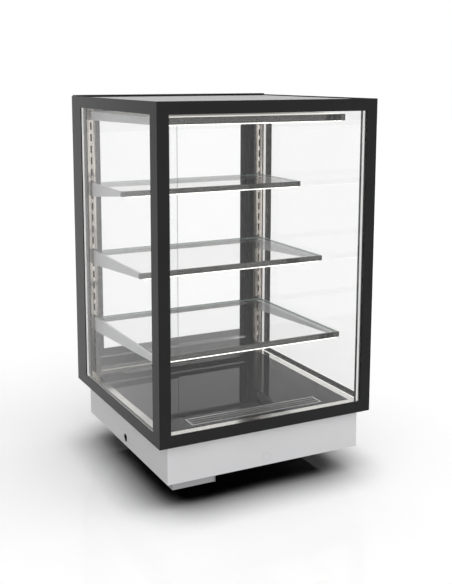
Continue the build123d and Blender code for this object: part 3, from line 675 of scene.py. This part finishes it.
scale_marks = bmesh.new()
for step in range(SCALE_STEPS + 1):
    turn = math.radians(SCALE_START + SCALE_SWEEP * step / SCALE_STEPS)
    spoke = on_plate @ Matrix.Rotation(turn, 4, "Y")
    add_tile(scale_marks, TICK_WIDTH, TICK_LENGTH, spoke @ out_to_tick)
    if step % NUMBER_EVERY == 0:
        out_to_number = Vector((math.sin(turn), 0, math.cos(turn))) * NUMBER_RADIUS
        number = str(DEGREES_A_STEP * step)
        add_text(scale_marks, number, NUMBER_HEIGHT, on_plate @ Matrix.Translation(out_to_number))
scale_mesh = finish_mesh(scale_marks, "thermostat_scale")
make_piece("thermostat_scale", scale_mesh, printed_black, "cabinet")
print(f"scale with {SCALE_STEPS + 1} ticks")

# %% [markdown]
# The rocker stands tilted at rest, and its outer face is two planes that meet in a
# valley over its pivot. Each mark is laid on one of the planes, so a matrix carries it
# from the pivot out to that plane's place and slope. The O is a ring between two
# circles, which bmesh bridges with faces and then thickens.

# %% Mark the switch
ROCKER_TILT = math.radians(7)
ROCKER_VALLEY, ROCKER_END, ROCKER_REACH = 0.0050, 0.0075, 0.0130
MARK_PLACE, MARK_HEIGHT, MARK_STROKE, RING_SIDES = 0.0075, 0.0055, 0.0008, 32

pivots = {joint["child"]: Vector(joint["pos_m"]) for joint in frame["joints"] if "pos_m" in joint}
face_slope = math.atan2(ROCKER_END - ROCKER_VALLEY, ROCKER_REACH)
rocker = Matrix.Translation(pivots["power_switch"]) @ Matrix.Rotation(ROCKER_TILT, 4, "X")


def rocker_face(side):
    """A matrix on the upper (1) or lower (-1) face of the rocker, its Y pointing out."""
    out = ROCKER_VALLEY + MARK_PLACE * math.tan(face_slope) + FILM / 2
    on_face = rocker @ Matrix.Translation((0, out, side * MARK_PLACE))
    return on_face @ Matrix.Rotation(-side * face_slope, 4, "X")


switch_marks = bmesh.new()
add_tile(switch_marks, MARK_STROKE, MARK_HEIGHT, rocker_face(1))
ring_radius = MARK_HEIGHT / 2
hole_radius = ring_radius - MARK_STROKE
ring = bmesh.ops.create_circle(switch_marks, radius=ring_radius, segments=RING_SIDES)
hole = bmesh.ops.create_circle(switch_marks, radius=hole_radius, segments=RING_SIDES)
rims = list({edge for vert in ring["verts"] + hole["verts"] for edge in vert.link_edges})
band = bmesh.ops.bridge_loops(switch_marks, edges=rims)
raised = bmesh.ops.extrude_face_region(switch_marks, geom=band["faces"])
top_verts = [item for item in raised["geom"] if isinstance(item, bmesh.types.BMVert)]
bmesh.ops.translate(switch_marks, vec=(0, 0, FILM / 2), verts=top_verts)
ring_verts = list({*ring["verts"], *hole["verts"], *top_verts})
laid_down = rocker_face(-1) @ Matrix.Rotation(-math.pi / 2, 4, "X")
bmesh.ops.transform(switch_marks, matrix=laid_down, verts=ring_verts)
bmesh.ops.recalc_face_normals(switch_marks, faces=switch_marks.faces)
switch_mesh = finish_mesh(switch_marks, "switch_marks")
make_piece("switch_marks", switch_mesh, printed_white, "power_switch")
print("switch marked I and O")

# %% [markdown]
# The dial's pointer is a short line of white paint near its upper rim. The dial's own
# box says where that is, so the line follows if the dial is moved.

# %% Paint the dial's pointer
LINE_WIDTH, LINE_LENGTH, LINE_FROM_RIM = 0.0012, 0.0085, 0.003

pointer_line = bmesh.new()
line_z = dial_high.z - LINE_FROM_RIM - LINE_LENGTH / 2
line_middle = Vector((dial_middle.x, dial_high.y - FILM / 2, line_z))
add_tile(pointer_line, LINE_WIDTH, LINE_LENGTH, Matrix.Translation(line_middle))
pointer_mesh = finish_mesh(pointer_line, "pointer_line")
make_piece("pointer_line", pointer_mesh, printed_white, "thermostat_knob")
print(f"pointer line {LINE_LENGTH * 1000:.1f} mm long")

# %% [markdown]
# ## The seal round each glazing unit
#
# A double glazing unit is closed outside its spacer with a bead of black sealant, which
# is the thin dark line that one sees beside a pane's bright edge. The bead lies against
# the outer pane, two millimetres high and four thick, and leaves the rest of the spacer's
# bright back open. A box for each side is enough: bmesh makes a cube and the box's
# corners say how far it reaches. The outer panes of both sides are one part, so the
# thickness of a pane is measured on the front one.

# %% Helpers for seals
SEAL_GAP = 0.00005
SEAL_WIDTH = 0.002
SEAL_THICK = 0.004


def add_bar(shape, low, high):
    """Add a box between two corners."""
    low, high = Vector(low), Vector(high)
    made = bmesh.ops.create_cube(shape, size=1.0)
    bmesh.ops.scale(shape, vec=high - low, verts=made["verts"])
    bmesh.ops.translate(shape, vec=(low + high) / 2, verts=made["verts"])


def add_seal(shape, low, high, along):
    """Add four bars just inside a box, two upright and two along an axis, 0 for X or 1 for Y."""
    for start, end in ((low[along], low[along] + SEAL_WIDTH), (high[along] - SEAL_WIDTH, high[along])):
        near, far = Vector(low), Vector(high)
        near[along], far[along] = start, end
        add_bar(shape, near, far)
    for start, end in ((low[2], low[2] + SEAL_WIDTH), (high[2] - SEAL_WIDTH, high[2])):
        near, far = Vector(low), Vector(high)
        near[along] += SEAL_WIDTH
        far[along] -= SEAL_WIDTH
        near[2], far[2] = start, end
        add_bar(shape, near, far)


print(f"a seal is {SEAL_WIDTH * 1000:.0f} mm high and {SEAL_THICK * 1000:.0f} mm thick")

# %% Seal the units
seals = bmesh.new()
outer_low, outer_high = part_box("front_glass_outer")
pane = outer_high.y - outer_low.y
front_low = (outer_low.x, outer_high.y + SEAL_GAP, outer_low.z + SEAL_GAP)
front_high = (outer_high.x, outer_high.y + SEAL_GAP + SEAL_THICK, outer_high.z - SEAL_GAP)
add_seal(seals, front_low, front_high, 0)
outer_low, outer_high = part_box("side_glass_outer")
far_x = outer_high.x - pane - SEAL_GAP
near_x = far_x - SEAL_THICK
for low_x, high_x in ((near_x, far_x), (-far_x, -near_x)):
    side_low = (low_x, outer_low.y, outer_low.z + SEAL_GAP)
    side_high = (high_x, outer_high.y, outer_high.z - SEAL_GAP)
    add_seal(seals, side_low, side_high, 1)
make_piece("unit_seals", finish_mesh(seals, "unit_seals"), black_plastic, "cabinet")
print(f"three units sealed behind panes of {pane * 1000:.1f} mm")

# %% [markdown]
# ## The studio
#
# The world is a white room whose light comes mostly from above, as from a large soft
# ceiling, with a little more from the front. That leaves the floor under the base almost
# black and makes the base's front lighter than its side. In the world, the Generated
# coordinate is the way that a ray goes. The eye, mirrors and glass see the room as plain
# white, which the light path tells apart from the soft light on paint.

# %% World
ROOM_LOW, ROOM_HIGH = 0.16, 1.08
FRONT_LIGHT = 0.82
FRONT_WAY = (0.50, -0.866, 0.0)
WHITE = 1.0

world = bpy.data.worlds.new("white room")
bpy.context.scene.world = world
world.use_nodes = True
world_tree = world.node_tree
background = world_tree.nodes["Background"]
background.inputs["Color"].default_value = (1, 1, 1, 1)

height = node_math(world_tree, "MAXIMUM", axes_of(world_tree, "Generated")["Z"], 0.0)
from_above = node_math(world_tree, "MULTIPLY_ADD", height, ROOM_HIGH - ROOM_LOW, ROOM_LOW)
way = world_tree.nodes.new("ShaderNodeTexCoord")
towards_front = world_tree.nodes.new("ShaderNodeVectorMath")
towards_front.operation = "DOT_PRODUCT"
towards_front.inputs[1].default_value = FRONT_WAY
world_tree.links.new(way.outputs["Generated"], towards_front.inputs[0])
facing_front = node_math(world_tree, "MAXIMUM", towards_front.outputs["Value"], 0.0)
from_front = node_math(world_tree, "MULTIPLY", facing_front, FRONT_LIGHT)
light_level = node_math(world_tree, "ADD", from_above, from_front)

path = world_tree.nodes.new("ShaderNodeLightPath")
seen = node_math(world_tree, "MAXIMUM", path.outputs["Is Camera Ray"], path.outputs["Is Glossy Ray"])
seen = node_math(world_tree, "MAXIMUM", seen, path.outputs["Is Transmission Ray"])
level = map_range(world_tree, seen, 0.0, 1.0, light_level, WHITE)
world_tree.links.new(level, background.inputs["Strength"])
print(f"room light from {ROOM_LOW} at the horizon to {ROOM_HIGH} overhead")

# %% [markdown]
# The floor is a plain matt grid with a trace of polish, in which the base mirrors
# faintly. The eye and mirrors see it lighter than the light that it sends up onto the
# case. The shadow right under a thing that hovers close to a pale floor is hard to get
# from soft light alone, because the floor lights itself. The ambient occlusion node says
# how closed in a point of the floor is, and deepens the shadow only there.

# %% Floor
FLOOR_LEVEL = -0.168
FLOOR_REACH = 14.0

floor_shape = bmesh.new()
bmesh.ops.create_grid(floor_shape, x_segments=1, y_segments=1, size=FLOOR_REACH)
bmesh.ops.translate(floor_shape, vec=(0, 0, FLOOR_LEVEL), verts=floor_shape.verts)
floor = bpy.data.objects.new("studio_floor", finish_mesh(floor_shape, "studio_floor"))
bpy.context.scene.collection.objects.link(floor)
print(f"floor at z = {FLOOR_LEVEL} m")

# %% Floor material
FLOOR_ALBEDO = 0.8
FLOOR_SEEN = 1.12
FLOOR_MIRROR = 0.04
FLOOR_POLISH = 0.03
CONTACT_REACH = 0.14
CONTACT_DARK = 0.36
CONTACT_RAYS = 32

floor_material = bpy.data.materials.new("pale floor")
floor_material.use_nodes = True
floor_tree = floor_material.node_tree
floor_tree.nodes.remove(floor_tree.nodes["Principled BSDF"])
matt = floor_tree.nodes.new("ShaderNodeBsdfDiffuse")
sheen = floor_tree.nodes.new("ShaderNodeBsdfGlossy")
sheen.inputs["Roughness"].default_value = FLOOR_POLISH
blend = floor_tree.nodes.new("ShaderNodeMixShader")
blend.inputs["Fac"].default_value = FLOOR_MIRROR
floor_path = floor_tree.nodes.new("ShaderNodeLightPath")
seen_by = (floor_path.outputs["Is Camera Ray"], floor_path.outputs["Is Glossy Ray"])
floor_seen = node_math(floor_tree, "MAXIMUM", *seen_by)
floor_tone = map_range(floor_tree, floor_seen, 0.0, 1.0, FLOOR_ALBEDO, FLOOR_SEEN)
contact = floor_tree.nodes.new("ShaderNodeAmbientOcclusion")
contact.samples = CONTACT_RAYS
contact.inputs["Distance"].default_value = CONTACT_REACH
contact_level = map_range(floor_tree, contact.outputs["AO"], CONTACT_DARK, 1.0, 0.0, 1.0)
deepened = node_math(floor_tree, "MULTIPLY", contact_level, floor_tone)
floor_tree.links.new(deepened, matt.inputs["Color"])
floor_tree.links.new(matt.outputs["BSDF"], blend.inputs[1])
floor_tree.links.new(sheen.outputs["BSDF"], blend.inputs[2])
floor_tree.links.new(blend.outputs["Shader"], floor_tree.nodes["Material Output"].inputs["Surface"])
floor.data.materials.append(floor_material)
print(f"floor shows at {FLOOR_SEEN} and lights the case as {FLOOR_ALBEDO}")

# %% [markdown]
# ## Picture settings
#
# A ray to the camera can pass the panes of two glazing units, three shelves and two
# doors, each with two faces, and a mirror sends it through more. So the path tracer is
# allowed enough see-through steps. The view transform stays plain, so that a colour
# shows as it is written. The last line writes down the corners of the parts as they came.

# %% Settings, size and finish
SEE_THROUGH_STEPS = 40
scene = bpy.context.scene
scene.view_settings.view_transform = "Standard"
scene.cycles.transparent_max_bounces = SEE_THROUGH_STEPS

print(f"CAD {list(cad_low)} {list(cad_high)}")
